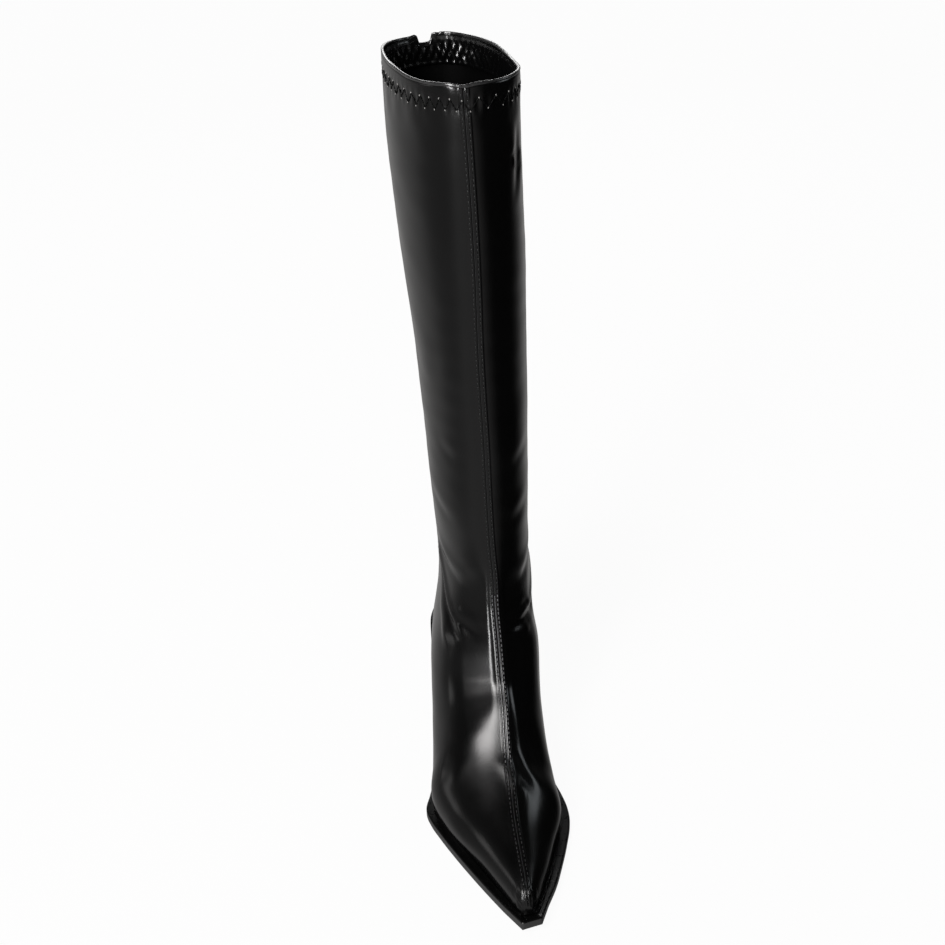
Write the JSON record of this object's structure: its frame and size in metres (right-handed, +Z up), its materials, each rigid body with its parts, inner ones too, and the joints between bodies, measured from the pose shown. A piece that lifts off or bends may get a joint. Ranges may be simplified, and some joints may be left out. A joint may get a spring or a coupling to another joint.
{
  "type": "knee-high boot",
  "caption": "Knee-high pull-on boot with a pointed snip toe, block heel, centre front seam and elastic-backed collar, for the right foot.",
  "frame": {"origin": "on the floor, under the middle of the boot's bounding box", "axes": "+Z up the shaft, toe toward -Y, medial (inner) side toward +X"},
  "size_m": [0.0906, 0.2776, 0.4537],
  "materials": {
    "upper": "semi-gloss coated black, fine grain",
    "outsole": "polished black ledge, matte dark grey side",
    "rand": "satin black",
    "insole": "matte black",
    "heel": "gloss black",
    "heel_lift": "matte black",
    "collar_elastic": "gathered black elastic"
  },
  "bodies": {
    "root": {"upper": "upper", "outsole": "outsole", "rand": "rand", "insole": "insole", "heel": "heel", "heel_lift": "heel_lift", "collar_elastic": "collar_elastic"}
  },
  "joints": []
}
